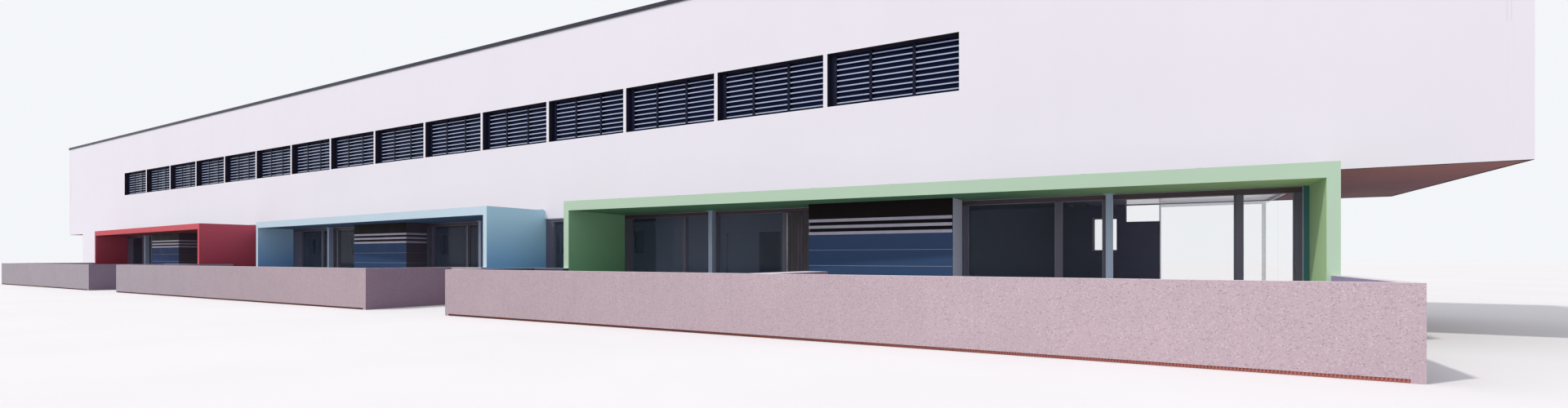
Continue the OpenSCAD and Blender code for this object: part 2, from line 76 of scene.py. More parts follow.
# Storage cores: middles from right to left, boards below the rails, panels above them
CORE_X = (12.590, 2.010, -8.570)
CORE_HALF = 0.920
CORE_FRONT_Y = FACE_Y - 0.385
CORE_RIGHT_X = CORE_X[0] + CORE_HALF
BOARD_H = 0.195
BOARD_COUNT = 5
RAIL_ZONE_Z = 1.040
RAIL_ZONE_TOP = 1.237
RAIL_PITCH = 0.080
RAIL_COUNT = 3

# Doors
LEAF_Y = FACE_Y + 0.025
LEAF_BOTTOM = FLOOR_TOP + 0.008
LEAF_TOP = LEAF_BOTTOM + 1.312
LEAF_BAR = 0.046

# A little beyond a face, so that the face itself lies in a zone
SKIN = 0.002


# Camera
def make_camera():
    film_w = 36.0
    photo_w = 1920.0
    lens_px = 802.0
    shift_px = 66.0
    turn = math.radians(29.5)
    data = bpy.data.cameras.new("photo_camera")
    cam = bpy.data.objects.new("photo_camera", data)
    scene.collection.objects.link(cam)
    data.sensor_width = film_w
    data.sensor_fit = 'HORIZONTAL'
    data.lens = lens_px / photo_w * film_w
    data.shift_y = shift_px / photo_w
    data.clip_start = 0.05
    data.clip_end = 400.0
    cam.location = (15.5025, -8.4075, 0.75)
    look = Vector((-math.sin(turn), math.cos(turn), 0.0))
    cam.rotation_euler = look.to_track_quat('-Z', 'Y').to_euler()
    scene.camera = cam


# Material helpers
def lin(*screen):
    """Screen numbers from 0 to 255 as linear colour."""
    out = []
    for v in screen:
        v = v / 255.0
        out.append(v / 12.92 if v <= 0.04045 else ((v + 0.055) / 1.055) ** 2.4)
    return tuple(out)


def tone(c, k):
    return tuple(min(1.0, v * k) for v in c)


class Nodes:
    """A node material with short calls for coordinates, masks, mixes and bump."""

    def __init__(self, name):
        self.mat = bpy.data.materials.new(name)
        self.mat.use_nodes = True
        self.nt = self.mat.node_tree
        self.bsdf = self.nt.nodes["Principled BSDF"]
        self.coord = self.nt.nodes.new("ShaderNodeTexCoord")
        self.pos = self.coord.outputs["Object"]
        self.x, self.y, self.z = self.split(self.pos)
        self.nx, self.ny, self.nz = self.split(self.coord.outputs["Normal"])

    def new(self, kind, **values):
        n = self.nt.nodes.new(kind)
        for k, v in values.items():
            setattr(n, k, v)
        return n

    def link(self, a, b):
        if hasattr(a, "is_output"):
            self.nt.links.new(a, b)
        else:
            b.default_value = (*a, 1.0) if isinstance(a, tuple) and len(a) == 3 else a

    def split(self, vec):
        s = self.new("ShaderNodeSeparateXYZ")
        self.nt.links.new(vec, s.inputs[0])
        return s.outputs[0], s.outputs[1], s.outputs[2]

    def math(self, op, a, b=0.0):
        n = self.new("ShaderNodeMath", operation=op)
        self.link(a, n.inputs[0])
        self.link(b, n.inputs[1])
        return n.outputs[0]

    def all(self, *masks):
        out = masks[0]
        for m in masks[1:]:
            out = self.math('MULTIPLY', out, m)
        return out

    def any(self, *masks):
        out = masks[0]
        for m in masks[1:]:
            out = self.math('MAXIMUM', out, m)
        return out

    def abs(self, a):
        return self.math('ABSOLUTE', a)

    def ease(self, v, a, b):
        """0 where v is at a, 1 where it is at b."""
        n = self.new("ShaderNodeMapRange", clamp=True)
        self.link(v, n.inputs["Value"])
        n.inputs["From Min"].default_value = a
        n.inputs["From Max"].default_value = b
        return n.outputs["Result"]

    def over(self, v, a, soft=0.001):
        return self.ease(v, a - soft, a + soft)

    def under(self, v, a, soft=0.001):
        return self.ease(v, a + soft, a - soft)

    def between(self, v, a, b, soft=0.001):
        return self.all(self.over(v, a, soft), self.under(v, b, soft))

    def facing(self, part, sign=1, start=0.35, full=0.6):
        """1 on faces that look along an axis, where part is that axis of their direction."""
        return self.ease(part, sign * start, sign * full)

    def sideways(self):
        return self.facing(self.abs(self.nx))

    def down(self):
        return self.facing(self.nz, -1)

    def mix(self, fac, a, b, kind='MIX'):
        n = self.new("ShaderNodeMix", data_type='RGBA', blend_type=kind)
        self.link(fac, n.inputs[0])
        self.link(a, n.inputs[6])
        self.link(b, n.inputs[7])
        return n.outputs[2]

    def times(self, a, b):
        return self.mix(1.0, a, b, 'MULTIPLY')

    def slide(self, mask, low, high):
        """The number low where the mask is 0, and high where it is 1."""
        n = self.new("ShaderNodeMapRange", clamp=True)
        self.link(mask, n.inputs["Value"])
        self.link(low, n.inputs["To Min"])
        self.link(high, n.inputs["To Max"])
        return n.outputs["Result"]

    def noise(self, scale, detail=4.0, rough=0.55, stretch=None):
        source = self.pos
        if stretch:
            mp = self.new("ShaderNodeMapping")
            mp.inputs["Scale"].default_value = stretch
            self.nt.links.new(self.pos, mp.inputs["Vector"])
            source = mp.outputs["Vector"]
        n = self.new("ShaderNodeTexNoise")
        n.inputs["Scale"].default_value = scale
        n.inputs["Detail"].default_value = detail
        n.inputs["Roughness"].default_value = rough
        self.nt.links.new(source, n.inputs["Vector"])
        return n.outputs["Fac"]

    def ramp(self, fac, stops):
        r = self.new("ShaderNodeValToRGB")
        els = r.color_ramp.elements
        while len(els) < len(stops):
            els.new(0.5)
        for e, (p, c) in zip(els, stops):
            e.position = p
            e.color = (c, c, c, 1.0) if isinstance(c, float) else (*c, 1.0)
        self.link(fac, r.inputs["Fac"])
        return r.outputs["Color"]

    def colour(self, socket):
        self.link(socket, self.bsdf.inputs["Base Color"])

    def gloss(self, level):
        self.bsdf.inputs["Specular IOR Level"].default_value = level

    def rough(self, scale, lo, hi, polished=None):
        value = self.ramp(self.noise(scale), [(0.3, lo), (0.7, hi)])
        if polished:
            value = self.mix(polished, value, (0.16, 0.16, 0.16))
        self.link(value, self.bsdf.inputs["Roughness"])

    def bump(self, height, strength, distance):
        b = self.new("ShaderNodeBump")
        b.inputs["Strength"].default_value = strength
        b.inputs["Distance"].default_value = distance
        self.link(height, b.inputs["Height"])
        self.link(b.outputs["Normal"], self.bsdf.inputs["Normal"])


# Kinds of surface
def render_coat(name, colour, spread, zones, rough=0.8, polish=None, gloss=0.3):
    """Smooth coloured render: faint clouds, faint runs, fine float grain."""
    m = Nodes(name)
    cloud = m.noise(0.5, 5.0, 0.6)
    runs = m.noise(2.2, 4.0, 0.6, (1.0, 1.0, 0.06))
    both = m.math('ADD', m.math('MULTIPLY', cloud, 0.65), m.math('MULTIPLY', runs, 0.35))
    col = m.ramp(both, [(0.36, tone(colour, 1 - spread)), (0.64, tone(colour, 1 + spread * 0.4))])
    m.colour(zones(m, col))
    m.rough(3.0, rough - 0.06, rough + 0.06, polish(m) if polish else None)
    m.bump(m.noise(130.0, 3.0, 0.6), 0.02 if polish else 0.22, 0.002)
    m.gloss(gloss)
    return m.mat


def concrete(name, colour, dark, light, zones=None, scale=95.0, amount=0.5):
    """Cast concrete: small grains, fine vertical streaks and faint pour clouds."""
    m = Nodes(name)
    v = m.new("ShaderNodeTexVoronoi")
    v.inputs["Scale"].default_value = scale
    m.link(m.pos, v.inputs["Vector"])
    sep = m.new("ShaderNodeSeparateColor")
    m.link(v.outputs["Color"], sep.inputs["Color"])
    grains = m.ramp(sep.outputs["Red"], [
        (0.0, dark), (0.14, tone(colour, 0.97)), (0.5, colour), (0.86, tone(colour, 1.03)), (1.0, light)])
    col = m.mix(amount, colour, grains)
    streak = m.ramp(m.noise(26.0, 3.0, 0.6, (1.0, 1.0, 0.05)), [(0.35, 0.965), (0.65, 1.0)])
    cloud = m.ramp(m.noise(1.4, 6.0, 0.65), [(0.3, 0.93), (0.7, 1.0)])
    col = m.times(m.times(col, streak), cloud)
    if zones:
        col = zones(m, col)
    m.colour(col)
    m.rough(5.0, 0.78, 0.92)
    m.bump(m.noise(220.0, 4.0, 0.7), 0.3, 0.002)
    return m.mat


def coated(name, colour, rough, metallic=0.0, spread=0.07, stretch=(1.0, 1.0, 0.15), zones=None,
           gloss=0.5):
    """Coated metal: faint long tone changes, small wear in the gloss, fine orange peel."""
    m = Nodes(name)
    n = m.noise(9.0, 4.0, 0.6, stretch)
    col = m.ramp(n, [(0.3, tone(colour, 1 - spread)), (0.7, tone(colour, 1 + spread))])
    if zones:
        col = zones(m, col)
    m.colour(col)
    m.rough(25.0, rough - 0.05, rough + 0.08)
    m.bsdf.inputs["Metallic"].default_value = metallic
    m.gloss(gloss)
    m.bump(m.noise(400.0, 2.0), 0.06, 0.001)
    return m.mat


def leaf_coat():
    """Door leaf: dark brown boards with vertical streaks."""
    m = Nodes("door_leaf")
    n = m.noise(30.0, 5.0, 0.6, (1.0, 1.0, 0.05))
    m.colour(m.ramp(n, [(0.3, lin(50, 42, 48)), (0.52, lin(68, 60, 68)), (0.7, lin(90, 82, 92))]))
    m.rough(20.0, 0.45, 0.6)
    m.bump(n, 0.2, 0.002)
    return m.mat


def glass(name, tint, alpha, zones=None, gloss=0.5):
    """Sheet glass, see-through, with a faint wave and dust."""
    m = Nodes(name)
    m.colour(m.ramp(m.noise(1.2, 3.0), [(0.3, tone(tint, 0.85)), (0.7, tone(tint, 1.15))]))
    m.rough(4.0, 0.02, 0.05)
    m.link(zones(m, alpha) if zones else alpha, m.bsdf.inputs["Alpha"])
    m.bsdf.inputs["IOR"].default_value = 1.5
    m.gloss(gloss)
    m.bump(m.noise(2.0, 1.0), 0.02, 0.002)
    m.mat.surface_render_method = 'BLENDED'
    return m.mat


# Colours of the upper storey and the inside; the reveal and the inside tones are painted shade, the soffit
# front is painted light and the pale inside tone painted daylight
WHITE = lin(237, 233, 239)
REVEAL_PAINTED_SHADE = lin(34, 29, 42)
SOFFIT_COLOUR = lin(152, 108, 112)
SOFFIT_FRONT_PAINTED_LIGHT = lin(178, 118, 112)
UPPER_EDGE = lin(110, 108, 112)
INSIDE_UPPER_PAINTED_SHADE = lin(70, 72, 84)
INSIDE_WALL_PAINTED_SHADE = lin(150, 162, 184)
INSIDE_RIGHT_PAINTED_SHADE = lin(104, 106, 124)
INSIDE_CEILING_PAINTED_SHADE = lin(108, 112, 126)
INSIDE_FLOOR_PAINTED_SHADE = lin(112, 114, 124)
INSIDE_PAINTED_DAYLIGHT = lin(236, 240, 248)

# Where the painted shade and painted daylight by the glazed end, its satin and its clear glass set in, from
# left to right
WALL_SHADE = (12.6, 14.2)
DAYLIGHT = (14.2, 15.6)
SATIN = (13.4, 14.6)
CLEAR = (12.4, 15.15)

# How much the glass covers what is behind it
TINTED = 0.13
OBSCURED = 0.93


# Zones: how a surface changes with its place on the building
def between_walls(m):
    return m.all(m.over(m.y, INNER_FACE_Y - SKIN), m.under(m.y, INNER_BACK_Y + SKIN))


def inside_ground(m):
    return m.all(between_walls(m), m.under(m.z, SOFFIT + SKIN), m.under(m.abs(m.x), GLAZED_END_X))


def soffit_painted_shade(m, back):
    """The underside of the overhang is warmer and lighter by its front edge, as painted light, and deeper
    towards the back, as painted shade.
    """
    deep_y = 1.8
    return m.mix(m.ease(m.y, FACE_Y, deep_y), SOFFIT_FRONT_PAINTED_LIGHT, back)


def white_zones(m, col):
    """Undersides are brown, with the painted light and shade of the soffit; the reveals of the band are
    painted dark as shade, and the inside is painted darker as shade, most towards the glazed end.
    """
    wide = m.under(m.abs(m.x), HALF - 0.05)
    # painted light and shade: the undersides take the soffit's brown, lighter by the front edge and darker
    # towards the back
    col = m.mix(m.down(), col, soffit_painted_shade(m, SOFFIT_COLOUR))
    band = m.between(m.z, SILL_Z - 0.004, HEAD_Z + 0.004)
    # painted shade: the sides and undersides of the band's reveals are painted dark
    col = m.mix(m.all(m.any(m.sideways(), m.down()), band, wide), col, REVEAL_PAINTED_SHADE)
    upper = m.all(between_walls(m), m.over(m.z, SOFFIT + 0.004), wide)
    # painted shade: the inside of the upper storey is painted dark
    col = m.mix(upper, col, INSIDE_UPPER_PAINTED_SHADE)
    # painted shade: the inside walls of the ground floor are painted darker, most towards the glazed end
    return m.mix(inside_ground(m), col, m.mix(m.ease(m.x, *WALL_SHADE), INSIDE_WALL_PAINTED_SHADE, INSIDE_RIGHT_PAINTED_SHADE))


def soffit_zones(m, col):
    """The underside outside is a warm brown, with painted light and shade; inside, the ceiling is painted
    dark as shade and pale by the glazed end as painted daylight.
    """
    # painted shade on the inside ceiling, and painted daylight by the glazed end
    ceiling = m.mix(m.ease(m.x, *DAYLIGHT), INSIDE_CEILING_PAINTED_SHADE, INSIDE_PAINTED_DAYLIGHT)
    col = m.mix(inside_ground(m), soffit_painted_shade(m, col), ceiling)
    return m.mix(m.over(m.z, SOFFIT + 0.1), col, UPPER_EDGE)


def ceiling_gloss(m):
    """The ceiling by the glazed end has a satin coat, in which the daylight shows."""
    return m.all(inside_ground(m), m.ease(m.x, *SATIN))


def floor_zones(m, col):
    """Inside, the floor is painted dark as shade and pale by the glazed end as painted daylight."""
    # painted shade on the inside floor, and painted daylight by the glazed end
    inside = m.mix(m.ease(m.x, *DAYLIGHT), INSIDE_FLOOR_PAINTED_SHADE, INSIDE_PAINTED_DAYLIGHT)
    return m.mix(m.over(m.y, INNER_FACE_Y - SKIN), col, inside)


def box_zones(side_painted_shade_top, side_painted_shade_low, soffit, left_side_painted_sun, underside_painted_light_right):
    """Painted light and shade: right sides are painted darker towards the ground as shade, left sides get a
    painted sunlit tone, and the underside of the roof is painted deep and saturated as shade, lighter towards
    the right end where given.
    """
    fall_z = (1.45, 0.45)
    right_x = (14.0, 16.8)

    def zones(m, col):
        # painted shade on the right sides, darker towards the ground
        fall = m.mix(m.ease(m.z, *fall_z), side_painted_shade_top, side_painted_shade_low)
        col = m.mix(m.facing(m.nx), col, fall)
        # painted sunlit tone on the left sides
        col = m.mix(m.facing(m.nx, -1), col, left_side_painted_sun)
        # painted shade under the roof, with painted light towards the right end
        return m.mix(m.down(), col, m.mix(m.ease(m.x, *right_x), soffit, underside_painted_light_right))
    return zones


def plinth_zones(m, col):
    """The strip at the foot of the low walls is darker further left."""
    run_x = (4.0, 16.5)
    return m.times(col, m.ramp(m.ease(m.x, *run_x), [(0.0, 0.30), (0.6, 0.42), (1.0, 1.0)]))


def patio_zones(m, col):
    """Painted light and shade: tops are painted pale as sunlit; right ends and left-facing inner faces are
    painted darker and cooler as shade, and the inner faces by the first passage dark as deep shade; the walls
    further left are darker and cooler.
    """
    run_x = (-15.0, 17.0)
    front_inner_y = -3.05
    divider_x = (7.5, 8.2)
    steep = (0.5, 0.8)
    along = m.ramp(m.ease(m.x, *run_x), [
        (0.0, (0.60, 0.68, 0.69)), (0.25, (0.65, 0.73, 0.74)), (0.42, (0.67, 0.72, 0.73)),
        (0.53, 0.73), (0.75, 0.81), (0.95, 1.0)])
    col = m.times(col, along)
    # painted shade on the right ends
    col = m.mix(m.facing(m.nx, 1, *steep), col, m.times(col, (0.73, 0.66, 0.80)))
    inner = m.over(m.y, front_inner_y)
    left = m.all(inner, m.facing(m.nx, -1, *steep))
    # painted shade on the left-facing inner faces
    col = m.mix(left, col, m.times(col, (0.62, 0.68, 0.95)))
    # painted deep shade on the inner faces by the first passage
    col = m.mix(m.all(inner, m.between(m.x, *divider_x)), col, lin(66, 72, 90))
    # painted light: the tops are painted pale as sunlit
    return m.mix(m.facing(m.nz, 1, *steep), col, lin(226, 214, 222))


def joint_zones(m, col):
    """Dark open joints between the lengths of coping."""
    along = m.math('MULTIPLY', m.math('ADD', m.x, HALF), COPING_BAYS / (2 * HALF))
    near = m.math('PINGPONG', along, 0.5)
    gap = m.under(near, 0.0016, 0.0004)
    joint = m.all(gap, m.over(m.z, BELOW_COPING), m.under(m.abs(m.x), HALF - 0.1))
    return m.mix(joint, col, lin(16, 16, 20))


def louvre_zones(m, col):
    """Blades are pale in front, with painted shade at their foot; their sides and undersides are painted dark
    navy as shade, and the stiles and mullions are dark navy.
    """
    rise = m.math('SUBTRACT', m.z, SILL_Z + BLADE_FIRST - 0.001)
    # painted shade at the foot of each blade
    foot = m.under(m.math('MODULO', rise, BLADE_PITCH), 0.006, 0.0004)
    mullion = LOUVRE_SET + 0.0035
    front = m.any(m.under(m.y, FACE_Y + mullion, 0.0005), m.over(m.y, BACK_Y - mullion, 0.0005))
    # painted shade on the foot, sides and undersides of the blades; the stiles and mullions in front are dark
    # navy
    return m.mix(m.any(front, m.sideways(), m.down(), foot), col, lin(16, 20, 46))


def board_zones(m, col):
    """Navy boards below the rails, dark brown panels over them, painted black shade in the recess behind the
    rails, and painted dark shade on the right sides of the cores but the first, whose right side is pale.
    """
    run_x = (-8.5, 12.5)
    fall_z = (1.0, 0.45)
    rails_top = RAIL_ZONE_TOP - 0.0005
    along = m.ramp(m.ease(m.x, *run_x), [
        (0.0, (0.20, 0.40, 0.70)), (0.5, (0.60, 0.76, 0.84)), (1.0, 1.0)])
    col = m.times(col, along)
    col = m.mix(m.ease(m.z, *fall_z), col, m.times(col, (0.66, 0.82, 0.84)))
    col = m.mix(m.over(m.z, rails_top, 0.0005), col, lin(24, 18, 19))
    right = m.facing(m.nx)
    outer = m.any(m.over(m.x, CORE_RIGHT_X - 0.0005, 0.0004), m.all(right, m.over(m.y, CORE_FRONT_Y - 0.001)))
    first = m.over(m.x, CORE_RIGHT_X - 0.01, 0.002)
    # painted shade: the right sides of the cores but the first are painted dark brown; the first is pale
    col = m.mix(m.all(right, outer), col, m.mix(first, lin(94, 86, 98), lin(214, 216, 236)))
    # painted shade: the recess behind the rails is painted black
    level = m.between(m.z, RAIL_ZONE_Z - 0.0005, rails_top, 0.0004)
    behind = m.over(m.y, CORE_FRONT_Y + 0.012, 0.001)
    across = m.ease(m.abs(m.nx), 0.6, 0.35)
    return m.mix(m.all(level, behind, across), col, lin(14, 12, 18))


def brown_zones(m, col):
    """Heads and sills of the frames are a warmer brown than their uprights."""
    head_z = 1.372
    sill_z = 0.1
    head = m.over(m.z, head_z, 0.0005)
    sill = m.under(m.z, sill_z, 0.0005)
    return m.mix(m.any(m.facing(m.abs(m.nz)), head, sill), col, lin(80, 60, 64))


def clear_zones(m, alpha):
    """The sheets near the glazed end are clear."""
    return m.slide(m.ease(m.x, *CLEAR), alpha, 0.02)


def high_zones(m, alpha):
    """The high windows but the last one have obscured glass."""
    back_y = 2.5
    last_x = 14.4
    high = m.all(m.over(m.y, back_y), m.under(m.x, last_x))
    return m.slide(high, clear_zones(m, alpha), OBSCURED)


# Materials by slot
GLASS_TINT = lin(92, 108, 132)
MATS = {
    "white_render": render_coat("white_render", WHITE, 0.015, white_zones),
    # the box coats carry painted shade for their right sides and undersides, and a painted sunlit tone for
    # their left sides
    "green_render": render_coat("green_render", lin(188, 215, 188), 0.02, box_zones(
        lin(160, 211, 165), lin(118, 180, 130), lin(92, 140, 104), lin(181, 214, 161),
        lin(186, 222, 154))),
    "blue_render": render_coat("blue_render", lin(196, 217, 227), 0.02, box_zones(
        lin(192, 233, 255), lin(98, 156, 214), lin(62, 92, 122), lin(204, 228, 240),
        lin(62, 92, 122))),
    "red_render": render_coat("red_render", lin(206, 86, 94), 0.03, box_zones(
        lin(196, 86, 104), lin(154, 56, 74), lin(106, 28, 38), lin(206, 86, 94),
        lin(106, 28, 38))),
    "soffit_render": render_coat("soffit_render", SOFFIT_COLOUR, 0.04, soffit_zones,
                                 polish=ceiling_gloss),
    "concrete": concrete("floor_concrete", lin(170, 164, 168), lin(140, 132, 136),
                         lin(205, 200, 204), floor_zones),
    "roof_concrete": concrete("roof_covering", lin(150, 150, 154), lin(110, 110, 114),
                              lin(190, 190, 194), None, 160.0, 0.8),
    "patio_concrete": concrete("patio_concrete", lin(204, 182, 189), lin(146, 128, 140),
                               lin(232, 220, 226), patio_zones, 150.0, 0.6),
    "navy_board": render_coat("navy_board", lin(62, 83, 119), 0.08, board_zones, 0.55, gloss=0.1),
    "plinth_strip": coated("plinth_strip", lin(182, 112, 102), 0.6, zones=plinth_zones, gloss=0.2),
    "coping_metal": coated("coping_metal", lin(48, 50, 62), 0.4, 0.1, stretch=(0.15, 0.15, 1.0),
                           zones=joint_zones, gloss=0.25),
    "louvre_metal": coated("louvre_metal", lin(180, 192, 214), 0.4, 0.0, 0.04, (0.1, 1.0, 1.0),
                           louvre_zones, 0.15),
    "dark_frame": coated("dark_frame", lin(96, 92, 108), 0.45, zones=brown_zones),
    # painted glare: the frames of the glazed end are pale and partly see-through, so that the bright backdrop
    # washes them out
    "pale_frame": glass("pale_frame", lin(214, 218, 226), 0.35),
    "rail_metal": coated("rail_metal", lin(190, 186, 202), 0.45),
    "post_steel": coated("post_steel", lin(172, 188, 210), 0.4),
    "tinted_glass": glass("tinted_glass", GLASS_TINT, TINTED, clear_zones),
}
LEAF = leaf_coat()
OTHER = {
    "band_glass": glass("band_glass", lin(24, 29, 62), OBSCURED, gloss=0.06),
    "screen_glass": glass("screen_glass", GLASS_TINT, TINTED, high_zones),
    "green_door": LEAF,
    "blue_door": LEAF,
    "red_door": LEAF,
}
BEAD = coated("glazing_bead", lin(120, 122, 136), 0.35, 0.3)
TRIM = coated("light_trim", lin(168, 174, 196), 0.35, 0.3)
STEEL = coated("brushed_steel", lin(176, 178, 182), 0.3, 0.85)
RUBBER = coated("gasket", lin(30, 30, 34), 0.7)
COVERING = concrete("covering", lin(168, 168, 172), lin(120, 120, 124), lin(200, 200, 204),
                    None, 160.0, 0.7)
# the coats of the corner strips, which are painted shade
CORNER_PAINTED_SHADE = {
    "green": coated("corner_strip", lin(58, 116, 114), 0.5),
    "blue": MATS["blue_render"],
    "red": MATS["red_render"],
}


def worn_edge(obj, width):
    """A small worn edge that catches the light."""
    b = obj.modifiers.new("edge", 'BEVEL')
    b.width = width
    b.segments = 1
    b.limit_method = 'ANGLE'
    b.angle_limit = math.radians(40)


def coat_solids():
    """Each solid gets the material of its slot, or its own, and worn edges where they would show."""
    slots = {s["node"]: s["material_slot"] for s in frame["record"]["subparts"]}
    thin = ("louvres", "glass", "floor", "piers", "rails")
    for name, obj in nodes.items():
        mat = OTHER.get(name, MATS[slots[name]])
        if not obj.material_slots:
            obj.data.materials.append(mat)
        for s in obj.material_slots:
            s.material = mat
        if not any(word in name for word in thin):
            worn_edge(obj, 0.0025)


# Mesh helpers
def islands(name):
    """Boxes round the loose parts of a CAD node, from left to right."""
    bm = bmesh.new()
    bm.from_mesh(nodes[name].data)
    bmesh.ops.remove_doubles(bm, verts=bm.verts, dist=1e-5)
    seen = set()
    out = []
    for v in bm.verts:
        if v in seen:
            continue
        seen.add(v)
        stack = [v]
        group = []
        while stack:
            w = stack.pop()
            group.append(w.co)
            for e in w.link_edges:
                o = e.other_vert(w)
                if o not in seen:
                    seen.add(o)
                    stack.append(o)
        lo = Vector([min(c[i] for c in group) for i in range(3)])
        hi = Vector([max(c[i] for c in group) for i in range(3)])
        out.append((lo, hi))
    bm.free()
    return sorted(out, key=lambda b: (round(b[0].x, 3), round(b[0].y, 3), b[0].z))


def put(bm, name, mat, body="building", bevel=0.0):
    """A piece of the scene, which rides on a body."""
    mesh = bpy.data.meshes.new(name)
    bm.normal_update()
    bm.to_mesh(mesh)
    bm.free()
    obj = bpy.data.objects.new(name, mesh)
    scene.collection.objects.link(obj)
    mesh.materials.append(mat)
    if bevel:
        worn_edge(obj, bevel)
    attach(obj, body)


def bar(bm, lo, hi):
    """A straight bar from its lowest to its highest corner."""
    v = [bm.verts.new((x, y, z)) for x in (lo[0], hi[0]) for y in (lo[1], hi[1]) for z in (lo[2], hi[2])]
    for f in ((0, 1, 3, 2), (4, 6, 7, 5), (0, 4, 5, 1), (2, 3, 7, 6), (0, 2, 6, 4), (1, 5, 7, 3)):
        bm.faces.new([v[i] for i in f])


def skin(bm, rows):
    """Faces between rows of points in rings."""
    n = len(rows[0])
    for p, q in zip(rows, rows[1:]):
        for i in range(n):
            j = (i + 1) % n
            bm.faces.new((p[i], p[j], q[j], q[i]))


def ring(bm, centre, u, w, r, n):
    """A ring of points round a centre, in the plane of u and w."""
    turns = [2 * math.pi * i / n for i in range(n)]
    return [bm.verts.new(centre + (u * math.cos(t) + w * math.sin(t)) * r) for t in turns]


def plate(bm, corners, z0, z1):
    """A flat plate with the given corners in plan, from height z0 to z1."""
    low = [bm.verts.new((x, y, z0)) for x, y in corners]
    high = [bm.verts.new((x, y, z1)) for x, y in corners]
    bm.faces.new(low[::-1])
    bm.faces.new(high)
    skin(bm, [low, high])


def disc(bm, centre, axis, r, h, n=12, top=0.8):
    """A low round head along an axis, a little narrower at its outer end."""
    a = Vector(axis).normalized()
    u = a.orthogonal().normalized()
    w = a.cross(u)
    c = Vector(centre)
    rows = [ring(bm, c + a * high, u, w, wide, n) for wide, high in ((r, 0.0), (r, h * 0.6), (r * top, h))]
    skin(bm, rows)
    bm.faces.new(rows[-1])
    bm.faces.new(rows[0][::-1])


def tube(bm, points, r, n=10):
    """A round rod along points."""
    pts = [Vector(p) for p in points]
    rows = []
    for i, p in enumerate(pts):
        d = (pts[min(i + 1, len(pts) - 1)] - pts[max(i - 1, 0)]).normalized()
        u = d.orthogonal().normalized() if abs(d.z) > 0.9 else d.cross(Vector((0, 0, 1))).normalized()
        rows.append(ring(bm, p, u, d.cross(u), r, n))
    skin(bm, rows)
    bm.faces.new(rows[0][::-1])
    bm.faces.new(rows[-1])


def bead_ring(bm, lo, hi):
    """Mitre-free beads round a sheet of glass, before and behind it."""
    w = 0.010
    thin = 0 if hi[0] - lo[0] < hi[1] - lo[1] else 1
    wide = 1 - thin
    for near, far in ((lo[thin] - w, lo[thin]), (hi[thin], hi[thin] + w)):
        a = list(lo)
        b = list(hi)
        a[thin] = near
        b[thin] = far
        for z0, z1 in ((lo[2], lo[2] + w), (hi[2] - w, hi[2])):
            bar(bm, (a[0], a[1], z0), (b[0], b[1], z1))
        for s0, s1 in ((lo[wide], lo[wide] + w), (hi[wide] - w, hi[wide])):
            a[wide] = s0
            b[wide] = s1
            bar(bm, (a[0], a[1], lo[2] + w), (b[0], b[1], hi[2] - w))


def inward(y, s, near, far):
    """Two depths behind a face of the building, from low to high; s is 1 in front and -1 at the back."""
    return sorted((y + s * near, y + s * far))


def band_bays():
    """Left and right side of each bay of the window band, between its posts."""
    left = HALF - BAND_RIGHT_BLANK - BAY_COUNT * BAY
    for i in range(BAY_COUNT):
        x0 = left + i * BAY + (0.0 if i == 0 else POST_HALF)
        x1 = left + (i + 1) * BAY - (0.0 if i == BAY_COUNT - 1 else POST_HALF)
        yield x0, x1


# Details of the upper storey
def make_copings():
    """Straps over the joints of the coping, with two screws each, and a folded drip under its edge."""
    front = FACE_Y - COPING_OUT
    back = BACK_Y + COPING_OUT
    strap_half = 0.03
    strap_t = 0.002
    drip_t = 0.004
    drip_low = TOP - COPING_H - 0.008
    drip_top = TOP - COPING_H + 0.0002
    straps = bmesh.new()
    screws = bmesh.new()
    for y0, y1, drip in ((front - strap_t, front + strap_t, front),
                         (INNER_BACK_Y - strap_t, INNER_BACK_Y, back - drip_t)):
        for i in range(1, COPING_BAYS):
            x = -HALF + i * 2 * HALF / COPING_BAYS
            bar(straps, (x - strap_half, y0, TOP - 0.058), (x + strap_half, y1, TOP - 0.002))
            for dx in (-0.018, 0.018):
                disc(screws, (x + dx, y1 - 0.003, TOP - 0.03), (0, -1, 0), 0.004, 0.003)
        bar(straps, (-HALF - COPING_OUT, drip, drip_low), (HALF + COPING_OUT, drip + drip_t, drip_top))
    for x in (-HALF - COPING_OUT, HALF + COPING_OUT - drip_t):
        bar(straps, (x, INNER_FACE_Y, drip_low), (x + drip_t, INNER_BACK_Y, drip_top))
    put(straps, "coping_straps", MATS["coping_metal"], bevel=0.001)
    put(screws, "coping_screws", STEEL)


def make_drip_profile():
    """A dark drip profile along the foot of the upper storey."""
    low = SOFFIT - 0.005
    wide = 0.010
    bm = bmesh.new()
    for y in (FACE_Y + 0.004, BACK_Y - 0.004 - wide):
        bar(bm, (-HALF + 0.004, y, low), (HALF - 0.004, y + wide, SOFFIT))
    for x in (-HALF + 0.004, HALF - 0.004 - wide):
        bar(bm, (x, FACE_Y + 0.004 + wide, low), (x + wide, BACK_Y - 0.004 - wide, SOFFIT))
    put(bm, "drip_profile", MATS["coping_metal"], bevel=0.001)


def make_band_sills():
    """Folded sills of the window band, with an upstand under the louvres."""
    sheet = 0.003
    bm = bmesh.new()
    for y, s in ((FACE_Y, 1), (BACK_Y, -1)):
        for x0, x1 in band_bays():
            y0, y1 = inward(y, s, 0.001, LOUVRE_SET)
            bar(bm, (x0, y0, SILL_Z), (x1, y1, SILL_Z + sheet))
            y0, y1 = inward(y, s, LOUVRE_SET - 0.006, LOUVRE_SET)
            bar(bm, (x0, y0, SILL_Z + sheet), (x1, y1, SILL_Z + 0.018))
    put(bm, "band_sills", MATS["coping_metal"], bevel=0.0008)


